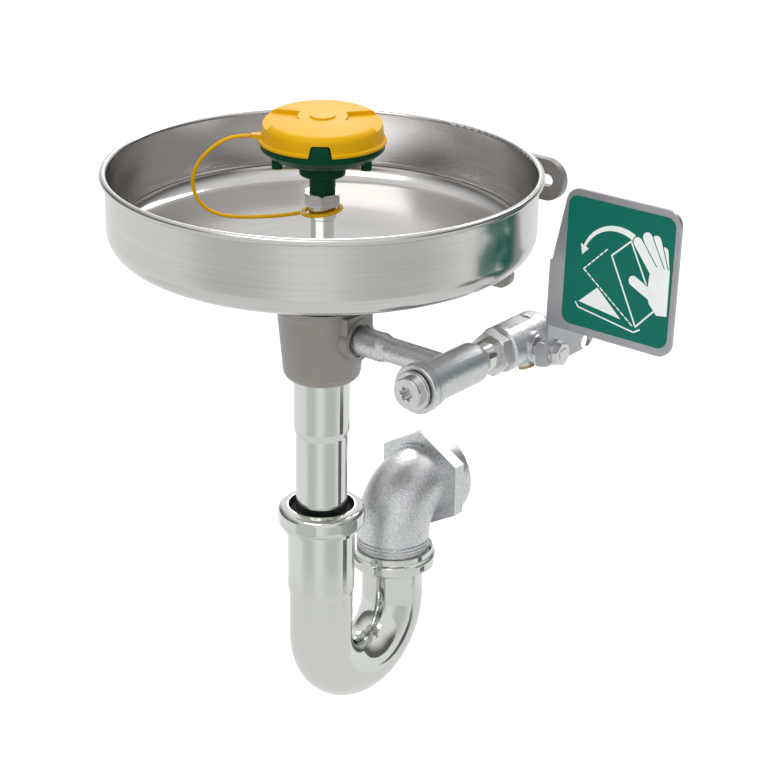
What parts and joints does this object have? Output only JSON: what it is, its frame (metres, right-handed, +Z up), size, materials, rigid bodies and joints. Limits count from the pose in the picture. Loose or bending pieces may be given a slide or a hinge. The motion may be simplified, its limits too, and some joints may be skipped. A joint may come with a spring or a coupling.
{
  "type": "wall-mounted emergency eye and face wash",
  "caption": "Wall-mounted eye and face wash: round steel bowl on a bracket, covered spray head, push-flag ball valve with strainer, and a drain trap.",
  "frame": {"origin": "midway between the wall plate's two slots, on the plate's back face", "axes": "+Z up, +Y into the wall, +X to the right of a user who faces the wall"},
  "size_m": [0.341, 0.298, 0.399],
  "materials": {
    "bowl_steel": "spun stainless, fine circular brushing, satin",
    "steel_sheet": "matte stainless sheet",
    "steel_fixing": "bright stainless",
    "bracket_cast": "cast, satin grey coating",
    "cast_nickel": "rough cast, satin nickel",
    "machined_nickel": "turned, bright satin nickel",
    "polished_chrome": "polished",
    "brass_plain": "satin",
    "seal_black": "matte",
    "seat_white": "matte",
    "label_green": "satin",
    "head_green": "moulded, satin",
    "cover_yellow": "moulded, satin",
    "regulator_rubber": "matte"
  },
  "bodies": {
    "station": {"bowl": "bowl_steel", "bowl_gasket": "seal_black", "waste_grid": "steel_fixing", "clamp_screws": "steel_fixing", "wall_bracket": "bracket_cast", "strainer_body": "cast_nickel", "branch_oring": "seal_black", "branch_lock_screw": "steel_fixing", "strainer_plug": "machined_nickel", "plug_seal": "seal_black", "strainer_screen": "steel_fixing", "valve_nipple": "polished_chrome", "valve_end": "machined_nickel", "valve_body": "cast_nickel", "drain_plug": "brass_plain", "valve_seats": "seat_white", "stem_packing": "seat_white", "gland_nut": "machined_nickel", "riser_pipe": "polished_chrome", "riser_collar": "polished_chrome", "head_nut": "machined_nickel", "head_body": "head_green", "head_oring": "seal_black", "spray_face": "head_green", "jet_inserts": "seat_white", "face_screws": "steel_fixing", "flow_regulator": "regulator_rubber", "tether_ring": "cover_yellow", "cover_tether": "cover_yellow", "tailpiece": "polished_chrome", "tailpiece_seal": "seal_black", "trap_inlet_nut": "polished_chrome", "trap_inlet_washer": "seal_black", "trap_bend": "polished_chrome", "trap_outlet_nut": "polished_chrome", "trap_outlet_washer": "seal_black", "waste_elbow": "cast_nickel"},
    "flag": {"push_flag": "steel_sheet", "flag_label": "label_green", "flag_washer": "steel_fixing", "flag_nut": "steel_fixing", "valve_stem": "steel_fixing", "valve_ball": "polished_chrome"},
    "cover": {"dust_cover": "cover_yellow"}
  },
  "joints": [
    {"name": "flag_turn", "type": "hinge", "parent": "station", "child": "flag", "pos_m": [0.1264, -0.1075, -0.0644], "axis": [-1, 0, 0], "range_deg": [0, 90]},
    {"name": "cover_lift", "type": "slide", "parent": "station", "child": "cover", "axis": [0, 0, 1], "range_m": [0, 0.06]}
  ]
}
